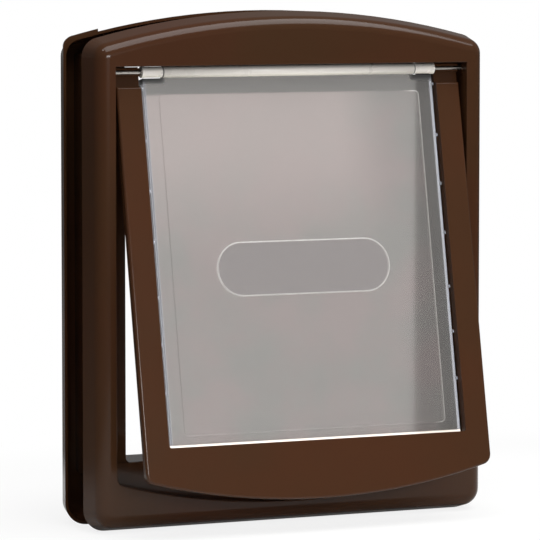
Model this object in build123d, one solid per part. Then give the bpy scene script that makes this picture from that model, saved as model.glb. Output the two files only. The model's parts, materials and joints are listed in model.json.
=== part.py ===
from build123d import *
import os
from math import sqrt

# A dog flap for a door: an outer and an inner frame that clamp the door between them, a tunnel
# through the door, and a two-part flap on one steel rod. The outer part, the surround, swings
# outwards only, because it is wider than the tunnel. The window in it also swings inwards.
# Millimetres. X runs across, Y into the door, Z up. Y = 0 is the door's outer face, and the
# origin is in the middle of the outer frame.

# Door and frames
DOOR_THICKNESS = 43.0
FRAME_HALF_WIDTH = 193.0
FRAME_FOOT = -228.0
FRAME_CROWN = 228.0
FRAME_TOP_RADIUS = 729.0
FRAME_TOP_CORNER = 17.5
FRAME_FOOT_CORNER = 20.0
FRAME_DEPTH = 26.0
FRAME_DRAFT = 14.0
SHOULDER_RADIUS = 12.2
WALL = 2.6
LIP_RADIUS = 0.8

# Raised ends of the inner frame's crown
EAR_START = 160.0
EAR_RISE = 2.4
EAR_DEPTH = 4.0
EAR_CORNER = 10.0

# Recess in the outer frame's face, where the flap hangs
OPENING_HALF_WIDTH = 171.2
OPENING_TOP = 180.85
OPENING_FOOT = -207.9
OPENING_FOOT_RADIUS = 633.0
OPENING_CORNER = 8.0
RECESS_TOP = 188.1
FLANGE_THICKNESS = 2.5

# Pads in the recess's foot corners, which catch the surround when it is pushed inwards
PAD_START = 139.0
PAD_TOP = -168.0
PAD_HEIGHT = 2.5
CORNER_PAD_RADIUS = 3.0

# Tunnel through the door
TUNNEL_HALF_WIDTH = 153.5
TUNNEL_FLOOR = -167.9
TUNNEL_WALL = 2.4
TUNNEL_CORNER = 4.0
TUNNEL_PLAY = 0.4
INNER_TUNNEL_START = 8.0

# Ribs and screw bosses inside the hollow frames
RIB_THICKNESS = 1.8
RIB_SETBACK = 4.0
RIB_PITCH = 55.0
EDGE_RIBS = 2
SCREW_TOP_X = 90.0
SCREW_TOP = 200.5
SCREW_FOOT_X = 150.0
SCREW_FOOT = -202.2
EJECTOR_RADIUS = 4.0
EJECTOR_RISE = 0.4
EJECTOR_X = 177.0
EJECTOR_HEIGHTS = (161.0, 62.0, -60.0, -168.0)
OUTER_BOSS_RADIUS = 5.5
INNER_BOSS_RADIUS = 7.4
SCREW_RADIUS = 2.0
SCREW_BORE = 2.03
SCREW_PASSAGE = 2.3
SCREW_BORE_DEPTH = 19.0
SCREW_REACH = 15.0
SCREW_SEAT_DEPTH = 6.0
SCREW_HEAD_RADIUS = 4.0
SCREW_HEAD_HEIGHT = 2.6
HEAD_POCKET_RADIUS = 5.2
CAP_CLEARANCE = 0.05
CAP_DOME = 0.7
CAP_SKIRT = 2.0

# Hinge line
AXIS_Y = -13.0
AXIS_Z = 175.5
ROD_RADIUS = 2.0
ROD_OVERHANG = 7.3
ROD_RUNNING_BORE = 2.06
ROD_BOSS_RADIUS = 4.6
ROD_BOSS_LENGTH = 3.2
WASHER_RADIUS = 4.6
WASHER_THICKNESS = 1.0
WASHER_BORE = 2.02
WASHER_PLAY = 0.3
HOOK_RADIUS = 3.6
HOOK_BORE = 2.04
HOOK_LIP = 1.0
HOOK_ARM = 2.2
HOOK_RISE = 5.0
BARREL_RADIUS = 5.0
BARREL_HALF_LENGTH = 122.9
BUSH_START = 123.2
BUSH_END = 142.8
BUSH_RADIUS = 4.8
BUSH_FLANGE_RADIUS = 5.15
BUSH_FLANGE = 2.8

# Surround, in its closed upright position, with distances down from the hinge line
OPEN_ANGLE = 11.2
SURROUND_HALF_WIDTH = 167.35
SURROUND_FOOT = 380.5
SURROUND_FOOT_RADIUS = 626.0
SURROUND_CORNER = 9.5
SURROUND_FRONT = 2.0
SURROUND_DEPTH = 6.5
SURROUND_EDGE_RADIUS = 2.0
SURROUND_WALL = 2.2
LEG_TOP = 13.0
CUTOUT_HALF_WIDTH = 144.2
CUTOUT_FOOT = 329.2
CUTOUT_CORNER = 2.5
CUTOUT_FLANGE = 1.0
WINDOW_REBATE = 3.2
REBATE_PLAY = 1.0
FENCE = 1.4
RIB_SINK = 1.0
LEG_RIB_PITCH = 44.0
LEG_RIBS = 7
RAIL_RIB_PITCH = 48.0
RAIL_RIBS = 3

# Draught strips in the back of the surround
STRIP_INSET = 2.2
STRIP_WIDTH = 4.0
STRIP_BACKING = 1.2
PILE_WIDTH = 2.2
PILE_GAP = 0.5
STRIP_TOP = 16.0
STRIP_END = 341.0
STRIP_FOOT_HALF_LENGTH = 136.0

# Magnet and keeper
MAGNET_HALF_LENGTH = 40.0
MAGNET_TOP = 350.0
MAGNET_HEIGHT = 11.0
MAGNET_THICKNESS = 6.0
MAGNET_WALL = 1.6
KEEPER_THICKNESS = 1.5
RIVET_X = 30.0
RIVET_RADIUS = 1.3
RIVET_HEAD_RADIUS = 2.6
RIVET_HEAD = 0.7
RIVET_PLAY = 0.05
RIVET_RELIEF = 1.0

# Window
WINDOW_LAG = 0.4
WINDOW_HALF_WIDTH = 141.1
WINDOW_FOOT = 331.4
WINDOW_FRONT = 1.0
WINDOW_THICKNESS = 3.0
WINDOW_TOP = 5.4
WINDOW_CORNER = 2.5
RIM_WIDTH = 2.8
RIM_DEPTH = 5.5
RIM_FOOT = 328.9
PANEL_HALF_WIDTH = 126.8
PANEL_TOP = 20.0
PANEL_FOOT = 319.4
PANEL_CORNER = 4.0
PANEL_RISE = 0.5
PAD_HALF_LENGTH = 83.6
PAD_MIDDLE = 175.6
PAD_HALF_HEIGHT = 23.6
PAD_RISE = 0.7
NUB_RADIUS = 1.5
NUB_REACH = 2.0
NUB_PLACES = (14.0, 60.5, 104.7, 149.2, 198.0, 238.6, 281.0)

FRAME_FACE = -FRAME_DEPTH
FLANGE_FRONT = -FLANGE_THICKNESS
MIRROR_Y = DOOR_THICKNESS / 2
ARC_CENTRE = FRAME_CROWN - FRAME_TOP_RADIUS
HINGE = Axis((0, AXIS_Y, AXIS_Z), (1, 0, 0))
SCREW_PLACES = (
    (-SCREW_TOP_X, SCREW_TOP),
    (SCREW_TOP_X, SCREW_TOP),
    (-SCREW_FOOT_X, SCREW_FOOT),
    (SCREW_FOOT_X, SCREW_FOOT),
)


def slab(outline, near, far):
    """Extrude an outline, drawn in X and Z, from Y = near to Y = far."""
    return Plane.XZ.offset(-far) * extrude(outline, far - near)


def rod_x(radius, start, end, y=AXIS_Y, z=AXIS_Z):
    """A cylinder along X from start to end."""
    return Plane.YZ.offset(start) * Pos(y, z) * extrude(Circle(radius), end - start)


def rod_y(radius, x, z, near, far):
    """A cylinder along Y from near to far."""
    return slab(Pos(x, z) * Circle(radius), near, far)


def arched(half_width, foot, crown_radius, top_corner, foot_corner):
    """Flat foot, straight sides and a top edge arched about the frame's arc centre."""
    shoulder = ARC_CENTRE + sqrt(crown_radius**2 - half_width**2)
    crown = ARC_CENTRE + crown_radius
    edges = [
        Line((-half_width, shoulder), (-half_width, foot)),
        Line((-half_width, foot), (half_width, foot)),
        Line((half_width, foot), (half_width, shoulder)),
        ThreePointArc((half_width, shoulder), (0, crown), (-half_width, shoulder)),
    ]
    face = make_face(edges)
    face = fillet(face.vertices().sort_by(Axis.Y)[:2], foot_corner)
    return fillet(face.vertices().sort_by(Axis.Y)[-2:], top_corner)


def bellied(half_width, top, foot, foot_radius, corner, top_corner=0.0):
    """Flat top, straight sides and a foot that curves down in the middle."""
    side_foot = foot + foot_radius - sqrt(foot_radius**2 - half_width**2)
    edges = [
        Line((-half_width, top), (half_width, top)),
        Line((half_width, top), (half_width, side_foot)),
        ThreePointArc((half_width, side_foot), (0, foot), (-half_width, side_foot)),
        Line((-half_width, side_foot), (-half_width, top)),
    ]
    face = make_face(edges)
    face = fillet(face.vertices().sort_by(Axis.Y)[:2], corner)
    if top_corner:
        face = fillet(face.vertices().sort_by(Axis.Y)[-2:], top_corner)
    return face


def box_outline(half_width, foot, top, corner):
    """A rectangle with rounded foot corners and sharp top corners."""
    middle = (foot + top) / 2
    face = Pos(0, middle) * Rectangle(2 * half_width, top - foot)
    return fillet(face.vertices().sort_by(Axis.Y)[:2], corner)


def frame_outline(inset=0.0):
    """The frame's outline, or one inside it."""
    return arched(
        FRAME_HALF_WIDTH - inset,
        FRAME_FOOT + inset,
        FRAME_TOP_RADIUS - inset,
        FRAME_TOP_CORNER - inset,
        FRAME_FOOT_CORNER - inset,
    )


def opening_outline(grow=0.0, top=OPENING_TOP):
    """The opening in the frame's face, or the outline of the wall round it."""
    return bellied(
        OPENING_HALF_WIDTH + grow,
        top + grow,
        OPENING_FOOT - grow,
        OPENING_FOOT_RADIUS + grow,
        OPENING_CORNER + grow,
        grow,
    )


def recess_outline(grow=0.0):
    """The recess behind the frame's face, which is higher than the opening."""
    return opening_outline(grow, RECESS_TOP)


def tunnel_outline(grow=0.0):
    """The tunnel's clear section, or one outside it."""
    return box_outline(
        TUNNEL_HALF_WIDTH + grow,
        TUNNEL_FLOOR - grow,
        RECESS_TOP + grow,
        TUNNEL_CORNER + grow,
    )


def moulding(inset, depth, edge_radius):
    """A drafted block with its front edge rounded, from the door's face forwards."""
    block = Plane.XZ * extrude(frame_outline(inset), depth, taper=FRAME_DRAFT)
    front = block.faces().sort_by(Axis.Y)[0]
    return fillet(front.edges(), edge_radius)


def frame_ribs():
    """Webs across the hollow top and foot borders, before they are trimmed to them."""
    depth = FRAME_DEPTH - RIB_SETBACK
    middle = FRAME_FACE + depth / 2
    web = Box(RIB_THICKNESS, depth, FRAME_CROWN - FRAME_FOOT)
    steps = range(-EDGE_RIBS, EDGE_RIBS + 1)
    return Part() + [Pos(step * RIB_PITCH, middle, 0) * web for step in steps]


def ejector_marks():
    """Low round marks on the hollow side's floor."""
    floor = FRAME_FACE + WALL
    marks = []
    for z in EJECTOR_HEIGHTS:
        for x in (-EJECTOR_X, EJECTOR_X):
            marks.append(rod_y(EJECTOR_RADIUS, x, z, floor - WALL / 2, floor + EJECTOR_RISE))
    return Part() + marks


def hollow_frame():
    """The border, the recess, its flange and the ribs, which both frames share."""
    hollow = moulding(WALL, FRAME_DEPTH - WALL, SHOULDER_RADIUS - WALL)
    block = moulding(0, FRAME_DEPTH, SHOULDER_RADIUS)
    frame = block - hollow
    frame += frame_ribs() & hollow
    frame += ejector_marks() & block
    frame += slab(recess_outline(WALL), FRAME_FACE + WALL / 2, 0)
    frame -= slab(recess_outline(), FRAME_FACE + WALL, FLANGE_FRONT)
    frame -= slab(opening_outline(), FRAME_FACE - 1, FLANGE_FRONT)
    face = frame.faces().filter_by(Axis.Y).sort_by(Axis.Y)[0]
    lip = face.inner_wires()[0].edges()
    return fillet(lip, LIP_RADIUS)


def corner_pad(side):
    """One pad on the flange, in a foot corner of the recess."""
    width = OPENING_HALF_WIDTH - PAD_START
    height = PAD_TOP - OPENING_FOOT
    pad = Pos(side * (PAD_START + width / 2), PAD_TOP - height / 2) * Rectangle(width, height)
    inner = pad.vertices().sort_by(Axis.Y)[-2:].sort_by(Axis.X)[0 if side > 0 else -1]
    pad = fillet(inner, CORNER_PAD_RADIUS) & opening_outline(WALL / 2)
    return slab(pad, FLANGE_FRONT - PAD_HEIGHT, FLANGE_FRONT)


def crown_ears():
    """The raised ends of the inner frame's crown, before it is mirrored."""
    raised = arched(
        FRAME_HALF_WIDTH,
        FRAME_FOOT,
        FRAME_TOP_RADIUS + EAR_RISE,
        EAR_CORNER,
        FRAME_FOOT_CORNER,
    )
    ring = Plane.XZ * extrude(raised, EAR_DEPTH, taper=FRAME_DRAFT)
    ring -= slab(frame_outline(WALL), -FRAME_DEPTH, 0)
    end = Box(FRAME_HALF_WIDTH - EAR_START, 2 * FRAME_DEPTH, FRAME_HALF_WIDTH)
    place = (EAR_START + FRAME_HALF_WIDTH) / 2
    return ring & (Part() + [Pos(side * place, 0, FRAME_CROWN) * end for side in (-1, 1)])


def outer_frame():
    frame = hollow_frame()
    reach = DOOR_THICKNESS - TUNNEL_PLAY
    frame += slab(tunnel_outline(TUNNEL_WALL), FLANGE_FRONT, reach)
    frame -= slab(tunnel_outline(), FLANGE_FRONT - 1, reach + 1)
    frame += [corner_pad(side) for side in (-1, 1)]
    for x, z in SCREW_PLACES:
        frame += rod_y(OUTER_BOSS_RADIUS, x, z, FRAME_FACE + WALL / 2, 0)
        frame -= rod_y(SCREW_BORE, x, z, -SCREW_BORE_DEPTH, 1)
    for side in (-1, 1):
        wall = side * OPENING_HALF_WIDTH
        tip = side * (OPENING_HALF_WIDTH + WALL + ROD_BOSS_LENGTH)
        low, high = sorted((wall, tip))
        boss = rod_x(ROD_BOSS_RADIUS, low, high)
        boss -= slab(recess_outline(), FRAME_FACE, 0)
        frame += boss
        frame -= rod_x(ROD_RUNNING_BORE, low - 1, high + 1)
    for x in (-RIVET_X, RIVET_X):
        z = AXIS_Z - MAGNET_TOP - MAGNET_HEIGHT / 2
        frame -= rod_y(RIVET_RADIUS + RIVET_PLAY, x, z, FLANGE_FRONT - 1, 1)
        frame -= rod_y(RIVET_HEAD_RADIUS + RIVET_PLAY, x, z, -RIVET_RELIEF, 1)
    return frame


def inner_frame():
    """Built as the outer frame's twin, then mirrored to the door's other face."""
    gap = TUNNEL_WALL + TUNNEL_PLAY
    reach = DOOR_THICKNESS - INNER_TUNNEL_START
    frame = hollow_frame() + crown_ears()
    frame += slab(tunnel_outline(gap + TUNNEL_WALL), FLANGE_FRONT, reach)
    frame -= slab(tunnel_outline(gap), FLANGE_FRONT - 1, reach + 1)
    seat = FRAME_FACE + SCREW_SEAT_DEPTH
    for x, z in SCREW_PLACES:
        frame += rod_y(INNER_BOSS_RADIUS, x, z, FRAME_FACE + WALL / 2, 0)
        frame -= rod_y(HEAD_POCKET_RADIUS, x, z, FRAME_FACE - 1, seat)
        frame -= rod_y(SCREW_PASSAGE, x, z, FRAME_FACE, 1)
    return to_inner_face(frame)


def to_inner_face(shape):
    """Mirror a piece from the door's outer face to its inner face."""
    return mirror(shape, about=Plane.XZ.offset(-MIRROR_Y))


def fixing_screw(x, z):
    seat = DOOR_THICKNESS + FRAME_DEPTH - SCREW_SEAT_DEPTH
    shank = rod_y(SCREW_RADIUS, x, z, -SCREW_REACH, seat)
    head = rod_y(SCREW_HEAD_RADIUS, x, z, seat, seat + SCREW_HEAD_HEIGHT)
    head = chamfer(head.faces().sort_by(Axis.Y)[-1].edges(), SCREW_HEAD_HEIGHT / 2)
    return shank + head


def screw_cap(x, z):
    face = DOOR_THICKNESS + FRAME_DEPTH
    radius = HEAD_POCKET_RADIUS - CAP_CLEARANCE
    cap = rod_y(radius, x, z, face - CAP_SKIRT, face + CAP_DOME)
    return chamfer(cap.faces().sort_by(Axis.Y)[-1].edges(), CAP_DOME)


def down(distance):
    """The height of a point this far below the hinge line on the upright flap."""
    return AXIS_Z - distance


def surround_outline(inset=0.0, top=LEG_TOP):
    return bellied(
        SURROUND_HALF_WIDTH - inset,
        down(top),
        down(SURROUND_FOOT) + inset,
        SURROUND_FOOT_RADIUS - inset,
        SURROUND_CORNER - inset,
    )


def surround_ribs(front, back):
    """Webs across the hollow legs and down the hollow rail."""
    depth = back - front
    middle = (front + back) / 2
    ribs = []
    for step in range(1, LEG_RIBS + 1):
        web = Box(2 * SURROUND_HALF_WIDTH, depth, SURROUND_WALL / 2)
        ribs.append(Pos(0, middle, down(step * LEG_RIB_PITCH)) * web)
    rail_middle = down((CUTOUT_FOOT + SURROUND_FOOT) / 2)
    for step in range(1, RAIL_RIBS + 1):
        web = Box(SURROUND_WALL / 2, depth, SURROUND_FOOT - CUTOUT_FOOT)
        ribs.append(Pos(step * RAIL_RIB_PITCH, middle, rail_middle) * web)
        ribs.append(Pos(-step * RAIL_RIB_PITCH, middle, rail_middle) * web)
    return Part() + ribs


def flap_surround():
    front = AXIS_Y - SURROUND_FRONT
    back = front + SURROUND_DEPTH
    skin = front + SURROUND_WALL
    body = slab(surround_outline(), front, back)
    body = fillet(body.faces().sort_by(Axis.Y)[0].edges(), SURROUND_EDGE_RADIUS)

    cutout = box_outline(CUTOUT_HALF_WIDTH, down(CUTOUT_FOOT), AXIS_Z + 10, CUTOUT_CORNER)
    rebate_depth = CUTOUT_FOOT + WINDOW_REBATE
    pocket_top = LEG_TOP + SURROUND_WALL
    wall_outline = box_outline(
        CUTOUT_HALF_WIDTH + SURROUND_WALL,
        down(rebate_depth + SURROUND_WALL),
        down(LEG_TOP),
        CUTOUT_CORNER + SURROUND_WALL,
    )
    pocket = slab(surround_outline(SURROUND_WALL, pocket_top), skin, back + 1)
    pocket -= slab(wall_outline, skin, back + 1)
    fence_inset = STRIP_INSET + STRIP_WIDTH
    fence = slab(surround_outline(fence_inset, pocket_top), skin, back)
    fence -= slab(surround_outline(fence_inset + FENCE, pocket_top), skin, back)
    trough = slab(surround_outline(STRIP_INSET, pocket_top), skin, back)
    trough -= slab(surround_outline(fence_inset, pocket_top), skin, back)
    ribs = (surround_ribs(skin, back - RIB_SINK) & pocket) - trough
    body -= pocket
    body += ribs
    body += fence & pocket
    body += slab(wall_outline, back - 1, back + CUTOUT_FLANGE)
    body -= slab(cutout, front - 1, back + CUTOUT_FLANGE + 1)

    rebate = box_outline(CUTOUT_HALF_WIDTH, down(rebate_depth), AXIS_Z, CUTOUT_CORNER)
    body -= slab(rebate, AXIS_Y + WINDOW_FRONT - REBATE_PLAY, back + CUTOUT_FLANGE + 1)

    body += [hook(side, back) for side in (-1, 1)]
    holder = magnet_block(MAGNET_WALL) & slab(surround_outline(), skin - 0.5, back + 1)
    body += holder
    body -= magnet_block(0)
    return swing(body, OPEN_ANGLE)


def hook(side, back):
    """An arm up behind the rod from the leg's top, and an open ring that grips the rod."""
    low, high = sorted((side * CUTOUT_HALF_WIDTH, side * SURROUND_HALF_WIDTH))
    middle = (low + high) / 2
    foot = LEG_TOP + SURROUND_WALL / 2
    arm = Box(high - low, HOOK_ARM, foot + HOOK_RISE)
    hook = Pos(middle, back - HOOK_ARM / 2, down((foot - HOOK_RISE) / 2)) * arm
    hook += rod_x(HOOK_RADIUS, low, high)
    hook -= rod_x(HOOK_BORE, low - 1, high + 1)
    mouth = Box(high - low + 2, HOOK_RADIUS, 2 * HOOK_RADIUS)
    return hook - Pos(middle, AXIS_Y - HOOK_LIP - HOOK_RADIUS / 2, AXIS_Z) * mouth


def magnet_block(grow):
    """The bar magnet's solid, or the holder round it."""
    height = MAGNET_HEIGHT + 2 * grow
    middle_z = down(MAGNET_TOP + MAGNET_HEIGHT / 2)
    back = AXIS_Y - SURROUND_FRONT + SURROUND_WALL + MAGNET_THICKNESS
    block = Box(2 * (MAGNET_HALF_LENGTH + grow), MAGNET_THICKNESS, height)
    return Pos(0, back - MAGNET_THICKNESS / 2, middle_z) * block


def strip_band(inset, width):
    """The band that the draught strips follow, inside the surround's edge."""
    outer = surround_outline(inset, STRIP_TOP)
    return outer - surround_outline(inset + width, STRIP_TOP - 1)


def pile_strips():
    """The left, right and foot strips: a backing in the channel and the pile on it."""
    skin = AXIS_Y - SURROUND_FRONT + SURROUND_WALL
    tip = FLANGE_FRONT - PILE_GAP
    inset = STRIP_INSET + (STRIP_WIDTH - PILE_WIDTH) / 2
    strip = slab(strip_band(STRIP_INSET, STRIP_WIDTH), skin, skin + STRIP_BACKING)
    strip += slab(strip_band(inset, PILE_WIDTH), skin, tip)
    span = STRIP_END - STRIP_TOP
    side = Box(3 * STRIP_WIDTH, 4 * SURROUND_DEPTH, span)
    foot = Box(2 * STRIP_FOOT_HALF_LENGTH, 4 * SURROUND_DEPTH, SURROUND_FOOT)
    reach = SURROUND_HALF_WIDTH - STRIP_WIDTH
    middle = down((STRIP_TOP + STRIP_END) / 2)
    left = strip & Pos(-reach, AXIS_Y, middle) * side
    right = strip & Pos(reach, AXIS_Y, middle) * side
    bottom = strip & Pos(0, AXIS_Y, down(STRIP_END + SURROUND_FOOT / 2)) * foot
    return [swing(piece, OPEN_ANGLE) for piece in (left, right, bottom)]


def keeper_plate():
    height = MAGNET_HEIGHT
    z = down(MAGNET_TOP + height / 2)
    plate = Rectangle(2 * MAGNET_HALF_LENGTH, height)
    plate = Pos(0, z) * fillet(plate.vertices(), 2)
    for x in (-RIVET_X, RIVET_X):
        plate -= Pos(x, z) * Circle(RIVET_RADIUS + RIVET_PLAY)
    return slab(plate, FLANGE_FRONT - KEEPER_THICKNESS, FLANGE_FRONT)


def keeper_rivets():
    """Two rivets through the keeper and the flange, as one group."""
    front = FLANGE_FRONT - KEEPER_THICKNESS
    z = down(MAGNET_TOP + MAGNET_HEIGHT / 2)
    rivets = []
    for x in (-RIVET_X, RIVET_X):
        rivet = rod_y(RIVET_RADIUS, x, z, front, -RIVET_RELIEF)
        rivet += rod_y(RIVET_HEAD_RADIUS, x, z, front - RIVET_HEAD, front)
        rivet += rod_y(RIVET_HEAD_RADIUS, x, z, -RIVET_RELIEF, -RIVET_RELIEF + RIVET_HEAD)
        rivets.append(rivet)
    return Compound(children=rivets)


def window_outline(foot, inset=0.0):
    """The window's outline down to this distance, or one inside it."""
    return box_outline(
        WINDOW_HALF_WIDTH - inset,
        down(foot - inset),
        down(WINDOW_TOP),
        WINDOW_CORNER - inset,
    )


def flap_window():
    front = AXIS_Y + WINDOW_FRONT
    back = front + WINDOW_THICKNESS
    window = slab(window_outline(WINDOW_FOOT), front, back)
    window += slab(window_outline(RIM_FOOT), back, back + RIM_DEPTH)
    inner = Pos(0, down((WINDOW_TOP + RIM_FOOT) / 2 - RIM_WIDTH)) * Rectangle(
        2 * (WINDOW_HALF_WIDTH - RIM_WIDTH), RIM_FOOT - WINDOW_TOP
    )
    window -= slab(inner, back, back + RIM_DEPTH)

    panel_middle = down((PANEL_TOP + PANEL_FOOT) / 2)
    panel = RectangleRounded(2 * PANEL_HALF_WIDTH, PANEL_FOOT - PANEL_TOP, PANEL_CORNER)
    window += slab(Pos(0, panel_middle) * panel, front - PANEL_RISE, front)

    pad = SlotOverall(2 * PAD_HALF_LENGTH, 2 * PAD_HALF_HEIGHT)
    pad_front = front - PANEL_RISE - PAD_RISE
    pad_solid = slab(Pos(0, down(PAD_MIDDLE)) * pad, pad_front, front)
    pad_edge = pad_solid.faces().sort_by(Axis.Y)[0].edges()
    window += fillet(pad_edge, PAD_RISE / 2)

    nub_y = (front + back) / 2
    for distance in NUB_PLACES:
        for side in (-1, 1):
            tip = side * (WINDOW_HALF_WIDTH + NUB_REACH)
            low, high = sorted((side * (WINDOW_HALF_WIDTH - RIM_WIDTH), tip))
            window += rod_x(NUB_RADIUS, low, high, nub_y, down(distance))

    neck = Box(2 * BARREL_HALF_LENGTH, WINDOW_THICKNESS, WINDOW_TOP + 2)
    window += Pos(0, nub_y, down(WINDOW_TOP / 2 + 1)) * neck
    window += rod_x(BARREL_RADIUS, -BARREL_HALF_LENGTH, BARREL_HALF_LENGTH)
    window -= rod_x(ROD_RUNNING_BORE, -BARREL_HALF_LENGTH - 1, BARREL_HALF_LENGTH + 1)
    return swing(window, OPEN_ANGLE - WINDOW_LAG)


def hinge_rod():
    reach = OPENING_HALF_WIDTH + ROD_OVERHANG
    rod = rod_x(ROD_RADIUS, -reach, reach)
    ends = rod.faces().filter_by(Axis.X)
    return chamfer(ends.edges(), 0.4)


def hinge_bush(side):
    """A short bush with a thin flange at its outer end."""
    flange_start = BUSH_END - BUSH_FLANGE
    bush = rod_x(BUSH_RADIUS, BUSH_START, flange_start)
    bush += rod_x(BUSH_FLANGE_RADIUS, flange_start, BUSH_END)
    bush -= rod_x(ROD_RUNNING_BORE, BUSH_START - 1, BUSH_END + 1)
    return bush if side > 0 else mirror(bush, about=Plane.YZ)


def rod_washer(side):
    """A push-on washer on the rod's end, behind the recess's side wall."""
    start = OPENING_HALF_WIDTH + WALL + ROD_BOSS_LENGTH + WASHER_PLAY
    washer = rod_x(WASHER_RADIUS, start, start + WASHER_THICKNESS)
    washer -= rod_x(WASHER_BORE, start - 1, start + WASHER_THICKNESS + 1)
    return washer if side > 0 else mirror(washer, about=Plane.YZ)


def swing(shape, angle):
    """Turn an upright piece outwards about the hinge line."""
    return shape.rotate(HINGE, -angle)


def main():
    os.makedirs("parts", exist_ok=True)
    pieces = {
        "outer_frame": outer_frame(),
        "inner_frame": inner_frame(),
        "flap_surround": flap_surround(),
        "flap_window": flap_window(),
        "hinge_rod": hinge_rod(),
        "closing_magnet": swing(magnet_block(0), OPEN_ANGLE),
        "keeper_plate": keeper_plate(),
        "keeper_rivets": keeper_rivets(),
    }
    for name, side in (("left", -1), ("right", 1)):
        pieces[f"hinge_bush_{name}"] = hinge_bush(side)
        pieces[f"rod_washer_{name}"] = rod_washer(side)
    for name, strip in zip(("left", "right", "bottom"), pile_strips()):
        pieces[f"pile_strip_{name}"] = strip
    for number, (x, z) in enumerate(SCREW_PLACES, start=1):
        pieces[f"fixing_screw_{number}"] = fixing_screw(x, z)
        pieces[f"screw_cap_{number}"] = screw_cap(x, z)
    for name, shape in pieces.items():
        export_step(shape, f"parts/{name}.step")


main()
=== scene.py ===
"""Finishes, small hardware and studio for a framed dog flap.

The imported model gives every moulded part. This script adds the finish of each surface, the parts
too fine for the solids, and the studio that it is seen in.
"""

import json
import math

import bmesh
import bpy
from bpy.props import FloatProperty, FloatVectorProperty, PointerProperty
from mathutils import Matrix, Vector


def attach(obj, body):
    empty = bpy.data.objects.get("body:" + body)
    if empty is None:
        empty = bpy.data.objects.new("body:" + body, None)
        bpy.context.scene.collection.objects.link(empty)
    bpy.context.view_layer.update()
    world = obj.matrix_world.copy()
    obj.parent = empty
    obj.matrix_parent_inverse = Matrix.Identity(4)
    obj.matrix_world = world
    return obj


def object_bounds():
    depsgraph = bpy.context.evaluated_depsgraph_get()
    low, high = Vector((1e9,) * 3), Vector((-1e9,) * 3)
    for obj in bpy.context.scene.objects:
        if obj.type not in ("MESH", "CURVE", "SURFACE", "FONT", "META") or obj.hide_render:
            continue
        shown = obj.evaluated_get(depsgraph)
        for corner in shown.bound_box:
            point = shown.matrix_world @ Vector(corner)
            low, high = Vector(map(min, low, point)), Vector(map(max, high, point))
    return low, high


bl_info = {
    "name": "Dog Flap Finish",
    "version": (1, 0, 0),
    "blender": (4, 5, 0),
    "location": "View3D > Sidebar > Dog Flap",
    "description": "Finishes, small hardware and studio for a framed dog flap",
    "category": "Object",
}

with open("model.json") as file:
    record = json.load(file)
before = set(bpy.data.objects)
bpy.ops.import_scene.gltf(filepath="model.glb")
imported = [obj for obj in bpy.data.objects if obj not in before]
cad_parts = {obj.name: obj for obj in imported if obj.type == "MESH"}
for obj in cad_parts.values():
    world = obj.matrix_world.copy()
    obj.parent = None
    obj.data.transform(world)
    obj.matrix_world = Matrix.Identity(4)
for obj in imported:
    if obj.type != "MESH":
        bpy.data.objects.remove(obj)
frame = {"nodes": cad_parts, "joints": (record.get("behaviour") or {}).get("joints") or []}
SOLID_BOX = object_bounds()
NODES = frame["nodes"]
HINGE = next(joint for joint in frame["joints"] if joint["name"] == "surround_hinge")
HINGE_POINT = Vector(HINGE["pos_m"])

FRAME_NODES = ("outer_frame", "inner_frame")
CAP_NODES = tuple(f"screw_cap_{number}" for number in range(1, 5))
SCREW_NODES = tuple(f"fixing_screw_{number}" for number in range(1, 5))
BUSH_NODES = ("hinge_bush_left", "hinge_bush_right")
WASHER_NODES = ("rod_washer_left", "rod_washer_right")
PILE_NODES = ("pile_strip_left", "pile_strip_right", "pile_strip_bottom")

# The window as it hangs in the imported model, with distances down from the hinge line
WINDOW_ANGLE = math.radians(10.8)
WINDOW_HALF_WIDTH = 0.1411
WINDOW_FOOT = 0.3314
PANEL_TOP = 0.020
PANEL_FOOT = 0.3194
PANEL_HALF_WIDTH = 0.1268
PANEL_CORNER = 0.004
PAD_MIDDLE = 0.1756
PAD_HALF_LENGTH = 0.0836
PAD_HALF_HEIGHT = 0.0236
BARREL_RADIUS = 0.005
BARREL_HALF_LENGTH = 0.1229

# Where each painted light, painted shade and painted highlight of the window begins and where it is
# full, across it or down from the hinge line
PALE_LIGHT_DOWN = (0.19, 0.05)
PALE_LIGHT_ACROSS = (0.10, 0.04)
BORDER_ACROSS = (0.118, PANEL_HALF_WIDTH)
BORDER_DOWN = (PANEL_TOP + 0.002, PANEL_TOP - 0.002)
PANEL_HIGHLIGHT_ACROSS = (0.11, 0.126)
PANEL_HIGHLIGHT_DOWN = (0.30, 0.319)
SIDE_EDGE_LIGHT = (WINDOW_HALF_WIDTH - 0.0030, WINDOW_HALF_WIDTH - 0.0018)
FOOT_EDGE_LIGHT = (WINDOW_FOOT - 0.0048, WINDOW_FOOT - 0.0038)
BUSH_SHADOW_ACROSS = (0.1180, 0.1235)
BUSH_SHADOW_DOWN = (0.012, 0.007)

# The same, as distances from the outline of the panel or the pad, and from the barrel's ends
BORDER_EDGE = (-0.0006, 0.0004)
PANEL_HIGHLIGHT = (0.0008, 0.0002)
PAD_EDGE = (0.0004, -0.0004)
PAD_HIGHLIGHT = (0.0009, 0.0003)
JOINT_LINE = (0.0008, 0.0003)

# How strong those are where they are full, if not wholly
PALE_LIGHT_SHARE = 0.8
PAD_HIGHLIGHT_SHARE = 0.85
PANEL_FOOT_HIGHLIGHT_SHARE = 0.2
JOINT_LINE_SHARE = 0.85

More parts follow.
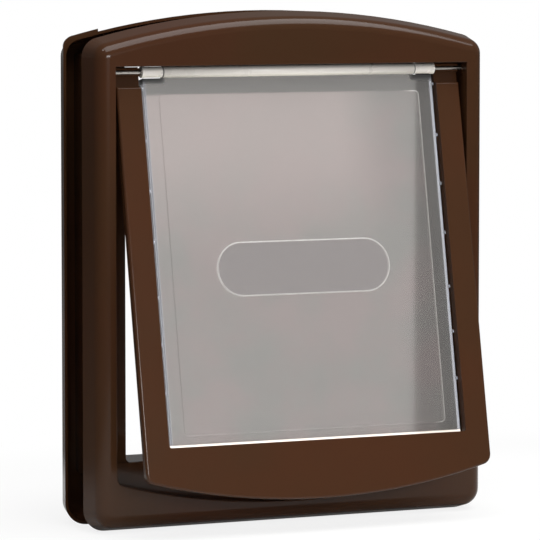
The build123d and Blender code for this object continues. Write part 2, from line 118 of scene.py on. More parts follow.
# Tints and finishes that a user has no need to change, among them the painted light at the barrel's
# foot, the painted shade on its top and the painted shadow by the bushes
FOOT_PAINTED_LIGHT = (0.98, 0.93, 0.82)
JOINT_TINT = (0.10, 0.09, 0.09)
BUSH_SHADOW_TINT = (0.10, 0.10, 0.10)
BUSH_SHADOW_ROUGHNESS = 0.9
BARREL_ROUGHNESS = 0.28
BARREL_TOP_PAINTED_SHADE = 0.45
BARREL_GRAIN = 0.000002
WINDOW_GRAIN = 0.0000004
BROWN_SPECULAR = 0.18

# The white sleeve over the barrel
SLEEVE_RADII = (BARREL_RADIUS + 0.00005, BARREL_RADIUS + 0.00001)
SLEEVE_SIDES = 48

# The thread runs along the shank between the frames and sinks into it a little; its half width
# is in pitches
SHANK_RADIUS = 0.002
THREAD_START = 0.0008
THREAD_END = 0.0422
THREAD_SINK = 0.00002
THREAD_HALF_WIDTH = 0.3
STEPS_PER_TURN = 20

# Pale paper lies round this point, mostly in front of the object; the camera sees white beyond it
FLOOR_SIZE = 30
PAPER_MIDDLE = (0.12, -0.30, 0)
PAPER_REACH = (0.60, 0.90)
PAPER_TINTS = ((0.82, 0.82, 0.81), (0.86, 0.86, 0.85))
FAR_TINT = (0.12, 0.12, 0.12)
WHITE_REACH = (0.45, 0.90)
NEAR_WHITE_SHARE = 0.84

# How much of the white backdrop shows in gloss; the photograph's brown mirrors a dark room
GLOSS_SHARE = 0.06

# The camera looks at this point
AIM = Vector((-0.013113, -0.001, -0.002982))


def colour_property(name, description, default):
    """A linear colour that a user may change."""
    return FloatVectorProperty(
        name=name, description=description, subtype="COLOR", size=3, min=0, max=1, default=default
    )


def factor_property(name, description, default):
    """A value from 0 to 1."""
    return FloatProperty(
        name=name, description=description, subtype="FACTOR", min=0, max=1, default=default
    )


def length_property(name, description, default):
    """A length in metres."""
    return FloatProperty(
        name=name, description=description, subtype="DISTANCE", unit="LENGTH", default=default
    )


def angle_property(name, description, degrees):
    """An angle, given in degrees and kept in radians."""
    return FloatProperty(
        name=name,
        description=description,
        subtype="ANGLE",
        unit="ROTATION",
        default=math.radians(degrees),
    )


def power_property(name, description, default):
    """A lamp's power in watts."""
    return FloatProperty(
        name=name, description=description, subtype="POWER", unit="POWER", default=default
    )


class PlasticSettings(bpy.types.PropertyGroup):
    """Colours and gloss of the brown mouldings."""

    frame: colour_property("Frame", "Main colour of the frames", (0.043, 0.0190, 0.0084))
    frame_red: colour_property("Frame red", "Colour the frames drift to", (0.047, 0.0178, 0.0080))
    # The surround's browns are lighter than the frames': painted light, for the extra light that
    # falls on the swung-out surround
    surround: colour_property("Surround", "Main colour of the surround", (0.053, 0.0200, 0.0088))
    surround_dark: colour_property("Surround dark", "Colour it drifts to", (0.047, 0.0200, 0.0088))
    gloss: factor_property("Roughness", "Roughness of the brown mouldings", 0.15)
    grain: length_property("Grain", "Height of the moulding's fine grain", 0.000003)


class WindowSettings(bpy.types.PropertyGroup):
    """Tint and haze of the translucent pieces, and the painted light, shade and highlights on the
    window.
    """

    warm: colour_property("Warm tint", "Warm patches of the frosted window", (0.40, 0.355, 0.345))
    cool: colour_property("Cool tint", "Cool patches of the frosted window", (0.36, 0.35, 0.335))
    # Painted light: the paler upper left of the window
    pale_light: colour_property("Milk", "Paler upper part of the window", (0.52, 0.46, 0.445))
    # Painted shade: the window outside the panel, darker at its right and top
    border_shade: colour_property("Border", "Window outside the raised panel", (0.29, 0.28, 0.27))
    pad: colour_property("Pad", "The bare pad on the window", (0.345, 0.32, 0.315))
    # Painted highlight on the edges of the panel and the pad
    line: colour_property("Line", "Edges of the panel and the pad", (0.80, 0.78, 0.75))
    # Painted light on the window's rim at the sides
    edge: colour_property("Edge", "The window's rim at the sides", (0.62, 0.63, 0.68))
    # Painted light on the window's rim at the foot
    foot: colour_property("Foot", "The window's rim at the foot", (0.98, 0.92, 0.86))
    # Painted light: a glow at the foot, though it is no lamp
    foot_painted_glow: colour_property("Foot glow", "Light that leaves the foot's edge", (0.42, 0.38, 0.34))
    haze: factor_property("Haze", "Share of light that the window scatters", 0.30)
    frost: factor_property("Frost", "Roughness of the window", 0.18)
    barrel: colour_property("Barrel", "Colour of the barrel and bushes", (0.93, 0.88, 0.82))


class HardwareSettings(bpy.types.PropertyGroup):
    """Sizes of the screws' threads."""

    thread_pitch: length_property("Thread pitch", "Distance between two thread crests", 0.0016)
    thread_height: length_property("Thread height", "Height of the crest above the shank", 0.00026)


class StudioSettings(bpy.types.PropertyGroup):
    """Camera and lamps."""

    distance: length_property("Distance", "From the camera to the point it looks at", 3.4213)
    azimuth: angle_property("Azimuth", "The camera's angle round the object", -24.619)
    elevation: angle_property("Elevation", "The camera's angle above the object", 4.779)
    lens: FloatProperty(
        name="Lens",
        description="Focal length on a 36 mm sensor",
        subtype="DISTANCE_CAMERA",
        default=255.39,
    )
    overhead: power_property("Overhead", "Power of the wide lamp above", 68.0)
    front: power_property("Front", "Power of the soft lamp in front", 20.0)
    spark: power_property("Spark", "Power of the small lamp at the upper left", 3.5)
    back: power_property("Back", "Power of the soft lamp behind", 22.0)
    world: factor_property("World", "Brightness of the surroundings", 0.16)


def settings():
    """The four groups of settings, kept on the scene."""
    scene = bpy.context.scene
    return scene.flap_plastic, scene.flap_window, scene.flap_hardware, scene.flap_studio


def new_material(name):
    """An empty node material and its tree."""
    material = bpy.data.materials.new(name)
    material.use_nodes = True
    material.node_tree.nodes.clear()
    return material, material.node_tree


def finish(names, material):
    """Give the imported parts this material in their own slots."""
    for name in names:
        if name not in NODES:
            raise RuntimeError(f"No packed part is named {name}")
        for slot in NODES[name].material_slots:
            slot.material = material


def add(tree, kind, **values):
    """A node of this kind; values whose names are sockets are plugged in."""
    node = tree.nodes.new(kind)
    for key, value in values.items():
        label = key.replace("_", " ")
        if label in node.inputs:
            plug(tree, value, node.inputs[label])
        else:
            setattr(node, key, value)
    return node


def plug(tree, value, socket):
    """Link an output to a socket, or set a plain value on it."""
    if isinstance(value, bpy.types.NodeSocket):
        tree.links.new(value, socket)
    else:
        socket.default_value = value


def calc(tree, operation, *values, clamp=False):
    """The result of a math node."""
    node = tree.nodes.new("ShaderNodeMath")
    node.operation = operation
    node.use_clamp = clamp
    for value, socket in zip(values, node.inputs):
        plug(tree, value, socket)
    return node.outputs[0]


def ramp(tree, value, start, end, low=0.0, high=1.0):
    """A smooth step from low to high between start and end."""
    node = add(tree, "ShaderNodeMapRange", interpolation_type="SMOOTHSTEP", Value=value)
    node.inputs["From Min"].default_value = start
    node.inputs["From Max"].default_value = end
    plug(tree, low, node.inputs["To Min"])
    plug(tree, high, node.inputs["To Max"])
    return node.outputs["Result"]


def mix_colour(tree, factor, first, second):
    """A blend of two colours."""
    node = tree.nodes.new("ShaderNodeMix")
    node.data_type = "RGBA"
    sockets = [socket for socket in node.inputs if socket.type == "RGBA"]
    plug(tree, factor, node.inputs[0])
    for value, socket in zip((first, second), sockets):
        linked = isinstance(value, bpy.types.NodeSocket)
        plug(tree, value if linked else (*value, 1), socket)
    return next(socket for socket in node.outputs if socket.type == "RGBA")


def new_group(name, inputs, outputs):
    """A shader node group with named sockets: (name, socket type, default)."""
    tree = bpy.data.node_groups.new(name, "ShaderNodeTree")
    for label, kind, default in inputs:
        socket = tree.interface.new_socket(label, in_out="INPUT", socket_type=kind)
        socket.default_value = default
    for label, kind in outputs:
        tree.interface.new_socket(label, in_out="OUTPUT", socket_type=kind)
    source = tree.nodes.new("NodeGroupInput")
    sink = tree.nodes.new("NodeGroupOutput")
    return tree, source.outputs, sink.inputs


def moulded_group():
    """Colour drift, gloss change and fine grain of a moulded plastic."""
    name = "Moulded Plastic"
    if name in bpy.data.node_groups:
        return bpy.data.node_groups[name]
    tree, source, sink = new_group(
        name,
        [
            ("First Colour", "NodeSocketColor", (0.5, 0.5, 0.5, 1)),
            ("Second Colour", "NodeSocketColor", (0.4, 0.4, 0.4, 1)),
            ("Drift Scale", "NodeSocketFloat", 7.0),
            ("Roughness", "NodeSocketFloat", 0.3),
            ("Gloss Change", "NodeSocketFloat", 0.06),
            ("Grain Scale", "NodeSocketFloat", 1400.0),
        ],
        [
            ("Colour", "NodeSocketColor"),
            ("Roughness", "NodeSocketFloat"),
            ("Height", "NodeSocketFloat"),
        ],
    )
    place = add(tree, "ShaderNodeTexCoord").outputs["Object"]
    drift = add(
        tree,
        "ShaderNodeTexNoise",
        Vector=place,
        Scale=source["Drift Scale"],
        Detail=3.0,
        Roughness=0.5,
    )
    share = ramp(tree, drift.outputs["Fac"], 0.35, 0.65)
    colour = mix_colour(tree, share, source["First Colour"], source["Second Colour"])
    patches = add(tree, "ShaderNodeTexNoise", Vector=place, Scale=28.0, Detail=4.0, Roughness=0.6)
    centred = calc(tree, "SUBTRACT", patches.outputs["Fac"], 0.5)
    change = calc(tree, "MULTIPLY", centred, source["Gloss Change"])
    rough = calc(tree, "ADD", change, source["Roughness"], clamp=True)
    grain = add(
        tree,
        "ShaderNodeTexNoise",
        Vector=place,
        Scale=source["Grain Scale"],
        Detail=2.0,
        Roughness=0.6,
    )
    plug(tree, colour, sink["Colour"])
    plug(tree, rough, sink["Roughness"])
    plug(tree, grain.outputs["Fac"], sink["Height"])
    return tree


def flap_place_group():
    """Where a point lies on the window: across it, and down from the hinge line."""
    name = "Place On Window"
    if name in bpy.data.node_groups:
        return bpy.data.node_groups[name]
    tree, source, sink = new_group(
        name,
        [("Angle", "NodeSocketFloat", WINDOW_ANGLE)],
        [("Across", "NodeSocketFloat"), ("Down", "NodeSocketFloat")],
    )
    place = add(tree, "ShaderNodeTexCoord").outputs["Object"]
    upright = add(
        tree,
        "ShaderNodeVectorRotate",
        rotation_type="X_AXIS",
        Vector=place,
        Center=HINGE_POINT,
        Angle=source["Angle"],
    )
    parts = add(tree, "ShaderNodeSeparateXYZ", Vector=upright.outputs["Vector"]).outputs
    plug(tree, parts["X"], sink["Across"])
    plug(tree, calc(tree, "SUBTRACT", HINGE_POINT.z, parts["Z"]), sink["Down"])
    return tree


def rounded_box_group():
    """Distance outside a rounded rectangle, negative inside it."""
    name = "Rounded Box Distance"
    if name in bpy.data.node_groups:
        return bpy.data.node_groups[name]
    labels = ("Across", "Down", "Middle", "Half Width", "Half Height", "Corner")
    tree, source, sink = new_group(
        name,
        [(label, "NodeSocketFloat", 0.0) for label in labels],
        [("Distance", "NodeSocketFloat")],
    )
    across = calc(tree, "ABSOLUTE", source["Across"])
    down = calc(tree, "ABSOLUTE", calc(tree, "SUBTRACT", source["Down"], source["Middle"]))
    past = []
    for value, half in ((across, source["Half Width"]), (down, source["Half Height"])):
        core = calc(tree, "SUBTRACT", half, source["Corner"])
        past.append(calc(tree, "SUBTRACT", value, core))
    squares = []
    for value in past:
        positive = calc(tree, "MAXIMUM", value, 0.0)
        squares.append(calc(tree, "MULTIPLY", positive, positive))
    outside = calc(tree, "SQRT", calc(tree, "ADD", *squares))
    inside = calc(tree, "MINIMUM", calc(tree, "MAXIMUM", *past), 0.0)
    distance = calc(tree, "SUBTRACT", calc(tree, "ADD", outside, inside), source["Corner"])
    plug(tree, distance, sink["Distance"])
    return tree


def plastic_shader(tree, texture, grain, transmission=0.0, colour=None, specular=0.5):
    """The shader of a plastic, fed by a moulded plastic group and linked to its output."""
    bump = add(tree, "ShaderNodeBump", Strength=0.5, Distance=grain)
    plug(tree, texture.outputs["Height"], bump.inputs["Height"])
    shader = add(tree, "ShaderNodeBsdfPrincipled", IOR=1.5)
    shader.inputs["Specular IOR Level"].default_value = specular
    shader.inputs["Transmission Weight"].default_value = transmission
    plug(tree, colour or texture.outputs["Colour"], shader.inputs["Base Color"])
    plug(tree, texture.outputs["Roughness"], shader.inputs["Roughness"])
    plug(tree, bump.outputs["Normal"], shader.inputs["Normal"])
    out = tree.nodes.new("ShaderNodeOutputMaterial")
    plug(tree, shader.outputs["BSDF"], out.inputs["Surface"])
    return shader


def moulded_texture(tree, first, second, roughness, drift=7.0, change=0.06, grain=1400.0):
    """A moulded plastic group with its own values."""
    texture = tree.nodes.new("ShaderNodeGroup")
    texture.node_tree = moulded_group()
    values = {
        "First Colour": (*first, 1),
        "Second Colour": (*second, 1),
        "Drift Scale": drift,
        "Roughness": roughness,
        "Gloss Change": change,
        "Grain Scale": grain,
    }
    for label, value in values.items():
        texture.inputs[label].default_value = value
    return texture


def moulded_material(name, first, second, roughness, grain):
    """An opaque moulded plastic, whose gloss is weak, as the photograph's is."""
    material, tree = new_material(name)
    texture = moulded_texture(tree, first, second, roughness)
    plastic_shader(tree, texture, grain, specular=BROWN_SPECULAR)
    return material


def barrel_material(name, colour, transmission):
    """White plastic, with painted shade on top and painted light at its foot, and dark joint lines
    at the barrel's ends.
    """
    material, tree = new_material(name)
    texture = moulded_texture(tree, colour, colour, BARREL_ROUGHNESS, grain=2200.0)
    place = add(tree, "ShaderNodeTexCoord").outputs["Object"]
    parts = add(tree, "ShaderNodeSeparateXYZ", Vector=place).outputs
    # Painted shade on the top, which the frame's lip shades, and painted light at the foot
    height = calc(tree, "SUBTRACT", parts["Z"], HINGE_POINT.z)
    share = ramp(tree, height, 0.8 * BARREL_RADIUS, 0.1 * BARREL_RADIUS)
    shade = mix_colour(tree, share, [BARREL_TOP_PAINTED_SHADE * value for value in colour], colour)
    foot = ramp(tree, height, -0.2 * BARREL_RADIUS, -BARREL_RADIUS)
    lit_foot = mix_colour(tree, foot, shade, FOOT_PAINTED_LIGHT)
    from_joint = calc(tree, "SUBTRACT", calc(tree, "ABSOLUTE", parts["X"]), BARREL_HALF_LENGTH)
    joint = ramp(tree, calc(tree, "ABSOLUTE", from_joint), *JOINT_LINE, 0.0, JOINT_LINE_SHARE)
    jointed = mix_colour(tree, joint, lit_foot, JOINT_TINT)
    plastic_shader(tree, texture, BARREL_GRAIN, transmission, jointed)
    return material


def window_material(window):
    """Frosted plastic with a raised panel and a bare pad, with painted highlights on their edges,
    painted light at the upper left, the sides and the foot, painted shade outside the panel at its
    right and top, and the painted shadow of the bushes.
    """
    material, tree = new_material("frosted_window")
    texture = moulded_texture(
        tree, window.warm, window.cool, window.frost, drift=16.0, change=0.05, grain=2600.0
    )
    place = tree.nodes.new("ShaderNodeGroup")
    place.node_tree = flap_place_group()
    across = place.outputs["Across"]
    down = place.outputs["Down"]
    beside = calc(tree, "ABSOLUTE", across)

    def outline(middle, half_width, half_height, corner):
        """Distance outside a rounded rectangle on the window."""
        box = tree.nodes.new("ShaderNodeGroup")
        box.node_tree = rounded_box_group()
        values = {
            "Across": across,
            "Down": down,
            "Middle": middle,
            "Half Width": half_width,
            "Half Height": half_height,
            "Corner": corner,
        }
        for label, value in values.items():
            plug(tree, value, box.inputs[label])
        return box.outputs["Distance"]

    panel_half_height = (PANEL_FOOT - PANEL_TOP) / 2
    panel = outline(
        PANEL_TOP + panel_half_height, PANEL_HALF_WIDTH, panel_half_height, PANEL_CORNER
    )
    pad = outline(PAD_MIDDLE, PAD_HALF_LENGTH, PAD_HALF_HEIGHT, PAD_HALF_HEIGHT)

    # Painted light at the upper left, and painted shade outside the panel at its right and top
    high = ramp(tree, down, *PALE_LIGHT_DOWN, 0.0, PALE_LIGHT_SHARE)
    pale_light_share = calc(tree, "MULTIPLY", high, ramp(tree, across, *PALE_LIGHT_ACROSS))
    colour = mix_colour(tree, pale_light_share, texture.outputs["Colour"], window.pale_light)
    at_top = ramp(tree, down, *BORDER_DOWN)
    right_or_top = calc(tree, "MAXIMUM", ramp(tree, across, *BORDER_ACROSS), at_top)
    outside = calc(tree, "MULTIPLY", ramp(tree, panel, *BORDER_EDGE), right_or_top)
    colour = mix_colour(tree, outside, colour, window.border_shade)

    # The pad, with a painted highlight all round it, and the panel's painted highlight at the right
    # and faintly at the foot
    colour = mix_colour(tree, ramp(tree, pad, *PAD_EDGE), colour, window.pad)
    pad_highlight = ramp(tree, calc(tree, "ABSOLUTE", pad), *PAD_HIGHLIGHT, 0.0, PAD_HIGHLIGHT_SHARE)
    colour = mix_colour(tree, pad_highlight, colour, window.line)
    panel_highlight = ramp(tree, calc(tree, "ABSOLUTE", panel), *PANEL_HIGHLIGHT)
    at_foot = ramp(tree, down, *PANEL_HIGHLIGHT_DOWN, 0.0, PANEL_FOOT_HIGHLIGHT_SHARE)
    right_or_foot = calc(tree, "MAXIMUM", ramp(tree, across, *PANEL_HIGHLIGHT_ACROSS), at_foot)
    panel_highlight = calc(tree, "MULTIPLY", panel_highlight, right_or_foot)
    colour = mix_colour(tree, panel_highlight, colour, window.line)

    # Painted light on the clear edges at the sides and the foot, and the painted shadow of the
    # bushes, a dull strip
    side = ramp(tree, beside, *SIDE_EDGE_LIGHT)
    foot = ramp(tree, down, *FOOT_EDGE_LIGHT)
    near_bush = ramp(tree, beside, *BUSH_SHADOW_ACROSS)
    under_bush = calc(tree, "MULTIPLY", near_bush, ramp(tree, down, *BUSH_SHADOW_DOWN))
    colour = mix_colour(tree, side, colour, window.edge)
    colour = mix_colour(tree, foot, colour, window.foot)
    colour = mix_colour(tree, under_bush, colour, BUSH_SHADOW_TINT)
    shader = plastic_shader(tree, texture, WINDOW_GRAIN, 1 - window.haze, colour)
    plain = texture.outputs["Roughness"]
    rough = ramp(tree, under_bush, 0.0, 1.0, plain, BUSH_SHADOW_ROUGHNESS)
    plug(tree, rough, shader.inputs["Roughness"])

    # Painted light: the foot glows a little, in place of the light that a clear sheet gathers
    glow = mix_colour(tree, foot, (0, 0, 0), window.foot_painted_glow)
    plug(tree, glow, shader.inputs["Emission Color"])
    shader.inputs["Emission Strength"].default_value = 1.0
    return material


def steel_material(name, colour, roughness, streaks):
    """Steel with fine streaks."""
    material, tree = new_material(name)
    place = add(tree, "ShaderNodeTexCoord").outputs["Object"]
    stretch = add(tree, "ShaderNodeMapping", Vector=place, Scale=streaks)
    noise = add(
        tree, "ShaderNodeTexNoise", Vector=stretch.outputs["Vector"], Scale=600.0, Detail=3.0
    ).outputs["Fac"]
    bump = add(tree, "ShaderNodeBump", Strength=0.3, Distance=0.00001, Height=noise)
    tone = mix_colour(tree, noise, colour, [0.86 * value for value in colour])
    shader = add(tree, "ShaderNodeBsdfPrincipled", Metallic=1.0)
    plug(tree, tone, shader.inputs["Base Color"])
    rough = ramp(tree, noise, 0.0, 1.0, 0.8 * roughness, 1.3 * roughness)
    plug(tree, rough, shader.inputs["Roughness"])
    plug(tree, bump.outputs["Normal"], shader.inputs["Normal"])
    out = tree.nodes.new("ShaderNodeOutputMaterial")
    plug(tree, shader.outputs["BSDF"], out.inputs["Surface"])
    return material


def pile_material(name, colour):
    """Dark pile with fibres that stand up from the surround."""
    material, tree = new_material(name)
    place = add(tree, "ShaderNodeTexCoord").outputs["Object"]
    upright = add(
        tree,
        "ShaderNodeVectorRotate",
        rotation_type="X_AXIS",
        Vector=place,
        Center=HINGE_POINT,
        Angle=WINDOW_ANGLE,
    )
    stretch = add(
        tree, "ShaderNodeMapping", Vector=upright.outputs["Vector"], Scale=(1.0, 0.06, 1.0)
    )
    fibres = add(
        tree, "ShaderNodeTexNoise", Vector=stretch.outputs["Vector"], Scale=2600.0, Detail=3.0
    ).outputs["Fac"]
    tips = [3.0 * value for value in colour]
    tone = mix_colour(tree, ramp(tree, fibres, 0.35, 0.7), colour, tips)
    bump = add(tree, "ShaderNodeBump", Strength=1.0, Distance=0.0003, Height=fibres)
    shader = add(tree, "ShaderNodeBsdfPrincipled", Roughness=0.95)
    plug(tree, tone, shader.inputs["Base Color"])
    plug(tree, bump.outputs["Normal"], shader.inputs["Normal"])
    out = tree.nodes.new("ShaderNodeOutputMaterial")
    plug(tree, shader.outputs["BSDF"], out.inputs["Surface"])
    return material


def new_piece(name, mesh_builder, material, body):
    """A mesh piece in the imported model's frame that rides on a body."""
    mesh = bpy.data.meshes.new(name)
    shape = bmesh.new()
    mesh_builder(shape)
    bmesh.ops.recalc_face_normals(shape, faces=shape.faces)
    shape.to_mesh(mesh)
    shape.free()
    mesh.materials.append(material)
    piece = bpy.data.objects.new(name, mesh)
    bpy.context.scene.collection.objects.link(piece)
    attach(piece, body)
    return piece


def ring_of(shape, points):
    """Vertices at these points."""
    return [shape.verts.new(point) for point in points]


def bridge(shape, first, second):
    """Faces between two rings of vertices."""
    count = len(first)
    for step in range(count):
        after = (step + 1) % count
        shape.faces.new((first[step], first[after], second[after], second[step]))


class FLAP_OT_mouldings(bpy.types.Operator):
    """Finish the brown frames, the surround and the screw caps"""

    bl_idname = "flap.mouldings"
    bl_label = "Brown Mouldings"

    def execute(self, context):
        plastic = settings()[0]
        look = (plastic.gloss, plastic.grain)
        colours = (plastic.frame, plastic.frame_red)
        finish(FRAME_NODES + CAP_NODES, moulded_material("brown_frames", *colours, *look))
        # The surround gets the lighter browns, painted light
        colours = (plastic.surround, plastic.surround_dark)
        finish(("flap_surround",), moulded_material("brown_surround", *colours, *look))
        return {"FINISHED"}


class FLAP_OT_window(bpy.types.Operator):
    """Finish the window and the bushes, and skin the barrel"""

    bl_idname = "flap.window"
    bl_label = "Window"

    def execute(self, context):
        window = settings()[1]
        finish(("flap_window",), window_material(window))
        finish(BUSH_NODES, barrel_material("translucent_bush", window.barrel, 0.1))
        skin = barrel_material("white_barrel", window.barrel, 0.0)
        new_piece("barrel_skin", barrel_skin, skin, "window")
        return {"FINISHED"}


def barrel_skin(shape):
    """A thin sleeve over the window's barrel, which is whiter than the window, and carries the
    barrel's painted shade and painted light.
    """
    rows = []
    for radius in SLEEVE_RADII:
        for end in (-1, 1):
            points = []
            for step in range(SLEEVE_SIDES):
                turn = 2 * math.pi * step / SLEEVE_SIDES
                y = HINGE_POINT.y + radius * math.cos(turn)
                z = HINGE_POINT.z + radius * math.sin(turn)
                points.append((end * BARREL_HALF_LENGTH, y, z))
            rows.append(ring_of(shape, points))
    outer_left, outer_right, inner_left, inner_right = rows
    bridge(shape, outer_left, outer_right)
    bridge(shape, inner_right, inner_left)
    bridge(shape, outer_right, inner_right)
    bridge(shape, inner_left, outer_left)
    for face in shape.faces:
        face.smooth = True


class FLAP_OT_metalwork(bpy.types.Operator):
    """Finish the rod, washers, screws, keeper, rivets, magnet and piles"""

    bl_idname = "flap.metalwork"
    bl_label = "Metalwork"

    def execute(self, context):
        rod = steel_material("drawn_steel", (0.40, 0.38, 0.35), 0.26, (0.05, 1, 1))
        finish(("hinge_rod",), rod)
        plated = steel_material("zinc_plated_steel", (0.56, 0.56, 0.55), 0.30, (1, 1, 1))
        finish(WASHER_NODES + SCREW_NODES + ("keeper_plate", "keeper_rivets"), plated)
        dark = (0.030, 0.030, 0.032)
        ferrite = moulded_material("ferrite", dark, (0.045, 0.045, 0.045), 0.6, 0.00005)
        finish(("closing_magnet",), ferrite)
        finish(PILE_NODES, pile_material("dark_pile", (0.014, 0.012, 0.010)))
        for name in SCREW_NODES:
            add_thread(name, plated)
        return {"FINISHED"}


def add_thread(name, material):
    """The thread on the length of shank that shows between the frames; it fades at both ends."""
    hardware = settings()[2]
    pitch = hardware.thread_pitch
    corners = [Vector(corner) for corner in NODES[name].bound_box]
    low = Vector([min(corner[axis] for corner in corners) for axis in range(3)])
    high = Vector([max(corner[axis] for corner in corners) for axis in range(3)])
    middle = (low + high) / 2
    count = int((THREAD_END - THREAD_START) / pitch * STEPS_PER_TURN)
    root = SHANK_RADIUS - THREAD_SINK

    def build(shape):
        rows = []
        for step in range(count + 1):
            turns = step / STEPS_PER_TURN
            turn = 2 * math.pi * turns
            fade = min(1.0, turns, (count - step) / STEPS_PER_TURN)
            along = THREAD_START + pitch * turns
            crest = SHANK_RADIUS + hardware.thread_height * fade
            profile = ((root, -THREAD_HALF_WIDTH), (crest, 0.0), (root, THREAD_HALF_WIDTH))
            points = [
                (
                    middle.x + radius * math.cos(turn),
                    along + offset * pitch,
                    middle.z + radius * math.sin(turn),
                )
                for radius, offset in profile
            ]
            rows.append(ring_of(shape, points))
        for first, second in zip(rows, rows[1:]):
            bridge(shape, first, second)
        shape.faces.new(rows[0])
        shape.faces.new(reversed(rows[-1]))

    new_piece(f"thread_{name[-1]}", build, material, "frame")


class FLAP_OT_studio(bpy.types.Operator):
    """Set the camera, the floor, the lamps and the surroundings"""

    bl_idname = "flap.studio"
    bl_label = "Studio"

    def execute(self, context):
        studio = settings()[3]
        add_camera(studio)
        add_floor()
        add_lamps(studio)
        add_world(studio)
        context.scene.view_settings.view_transform = "Standard"
        return {"FINISHED"}


def add_camera(studio):
    """The camera looks at AIM from the photograph's angle."""
    azimuth, elevation = studio.azimuth, studio.elevation
    back = Vector(
        (
            math.sin(azimuth) * math.cos(elevation),
            -math.cos(azimuth) * math.cos(elevation),
            math.sin(elevation),
        )
    )
    right = Vector((math.cos(azimuth), math.sin(azimuth), 0))
    up = back.cross(right)
    data = bpy.data.cameras.new("camera")
    data.lens = studio.lens
    data.sensor_width = 36
    camera = bpy.data.objects.new("camera", data)
    turn = Matrix((right, up, back)).transposed()
    camera.matrix_world = Matrix.Translation(AIM + back * studio.distance) @ turn.to_4x4()
    bpy.context.scene.collection.objects.link(camera)
    bpy.context.scene.camera = camera


def sees_white(tree):
    """1 for the camera's rays and those through plastic, GLOSS_SHARE for gloss, 0 for light."""
    path = tree.nodes.new("ShaderNodeLightPath").outputs
    seen = calc(tree, "MAXIMUM", path["Is Camera Ray"], path["Is Transmission Ray"])
    return calc(tree, "MAXIMUM", seen, calc(tree, "MULTIPLY", path["Is Glossy Ray"], GLOSS_SHARE))


def add_floor():
    """A plain pale floor that keeps the object's shadow, and fades to the white beyond."""
    foot = SOLID_BOX[0][2]
    bpy.ops.mesh.primitive_plane_add(size=FLOOR_SIZE, location=(0, 0, foot))
    floor = bpy.context.object
    floor.name = "floor"
    material, tree = new_material("pale_floor")
    place = add(tree, "ShaderNodeTexCoord").outputs["Object"]
    reach = add(tree, "ShaderNodeVectorMath", operation="DISTANCE")
    plug(tree, place, reach.inputs[0])
    reach.inputs[1].default_value = PAPER_MIDDLE
    distance = reach.outputs["Value"]
    noise = add(tree, "ShaderNodeTexNoise", Vector=place, Scale=3.0, Detail=2.0).outputs["Fac"]
    near_paper = mix_colour(tree, noise, *PAPER_TINTS)
    paper_colour = mix_colour(tree, ramp(tree, distance, *PAPER_REACH), near_paper, FAR_TINT)
    paper = add(tree, "ShaderNodeBsdfPrincipled", Roughness=0.9)
    paper.inputs["Specular IOR Level"].default_value = 0.0
    plug(tree, paper_colour, paper.inputs["Base Color"])
    glow = add(tree, "ShaderNodeEmission", Strength=1.0)
    white = ramp(tree, distance, *WHITE_REACH, NEAR_WHITE_SHARE, 1.0)
    share = calc(tree, "MULTIPLY", sees_white(tree), white)
    mix = tree.nodes.new("ShaderNodeMixShader")
    plug(tree, share, mix.inputs[0])
    plug(tree, paper.outputs["BSDF"], mix.inputs[1])
    plug(tree, glow.outputs["Emission"], mix.inputs[2])
    out = tree.nodes.new("ShaderNodeOutputMaterial")
    plug(tree, mix.outputs["Shader"], out.inputs["Surface"])
    floor.data.materials.append(material)


def add_lamp(name, power, size, place):
    """A soft lamp that points at the object."""
    data = bpy.data.lights.new(name, "AREA")
    data.shape = "RECTANGLE"
    data.energy = power
    data.size, data.size_y = size
    lamp = bpy.data.objects.new(name, data)
    lamp.visible_camera = False
    lamp.location = place
    lamp.rotation_euler = (-Vector(place)).to_track_quat("-Z", "Y").to_euler()
    bpy.context.scene.collection.objects.link(lamp)


def add_lamps(studio):
    """A wide lamp overhead, soft ones in front and behind, and one for the corner's highlight."""
    add_lamp("overhead_lamp", studio.overhead, (2.4, 1.5), (0.35, -0.80, 1.95))
    add_lamp("front_lamp", studio.front, (0.9, 0.3), (0.05, -2.45, 0.48))
    add_lamp("spark_lamp", studio.spark, (0.12, 0.12), (-1.05, -0.77, 1.78))
    add_lamp("back_lamp", studio.back, (1.2, 0.8), (-0.50, 2.40, 1.30))


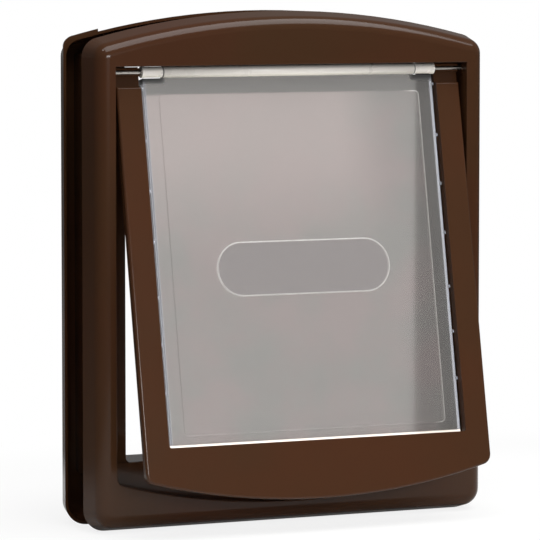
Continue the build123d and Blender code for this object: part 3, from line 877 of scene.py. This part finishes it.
def add_world(studio):
    """Dim surroundings that light the object, behind a white backdrop that doesn't."""
    world = bpy.data.worlds.new("surroundings")
    world.use_nodes = True
    bpy.context.scene.world = world
    tree = world.node_tree
    tree.nodes.clear()
    seen = sees_white(tree)
    shades = []
    for strength in (studio.world, 1.0):
        shade = add(tree, "ShaderNodeBackground", Strength=strength)
        shade.inputs["Color"].default_value = (1, 1, 1, 1)
        shades.append(shade.outputs["Background"])
    mix = tree.nodes.new("ShaderNodeMixShader")
    plug(tree, seen, mix.inputs[0])
    plug(tree, shades[0], mix.inputs[1])
    plug(tree, shades[1], mix.inputs[2])
    out = tree.nodes.new("ShaderNodeOutputWorld")
    plug(tree, mix.outputs["Shader"], out.inputs["Surface"])


class FLAP_PT_panel(bpy.types.Panel):
    """Lists the steps and their settings."""

    bl_idname = "FLAP_PT_panel"
    bl_label = "Dog Flap"
    bl_space_type = "VIEW_3D"
    bl_region_type = "UI"
    bl_category = "Dog Flap"

    def draw(self, context):
        for group in settings():
            box = self.layout.box()
            for name in group.__annotations__:
                box.prop(group, name)
        for step in STEPS:
            self.layout.operator(step.bl_idname)


STEPS = (FLAP_OT_studio, FLAP_OT_mouldings, FLAP_OT_window, FLAP_OT_metalwork)
GROUPS = (PlasticSettings, WindowSettings, HardwareSettings, StudioSettings)


def register():
    """Register the classes and keep their settings on the scene."""
    for cls in GROUPS + STEPS + (FLAP_PT_panel,):
        bpy.utils.register_class(cls)
    bpy.types.Scene.flap_plastic = PointerProperty(type=PlasticSettings)
    bpy.types.Scene.flap_window = PointerProperty(type=WindowSettings)
    bpy.types.Scene.flap_hardware = PointerProperty(type=HardwareSettings)
    bpy.types.Scene.flap_studio = PointerProperty(type=StudioSettings)


def unregister():
    """Take the settings and the classes away again."""
    del bpy.types.Scene.flap_studio
    del bpy.types.Scene.flap_hardware
    del bpy.types.Scene.flap_window
    del bpy.types.Scene.flap_plastic
    for cls in reversed(GROUPS + STEPS + (FLAP_PT_panel,)):
        bpy.utils.unregister_class(cls)


def main():
    """Run each step."""
    register()
    bpy.ops.flap.studio()
    bpy.ops.flap.mouldings()
    bpy.ops.flap.window()
    bpy.ops.flap.metalwork()


if __name__ == "__main__":
    main()
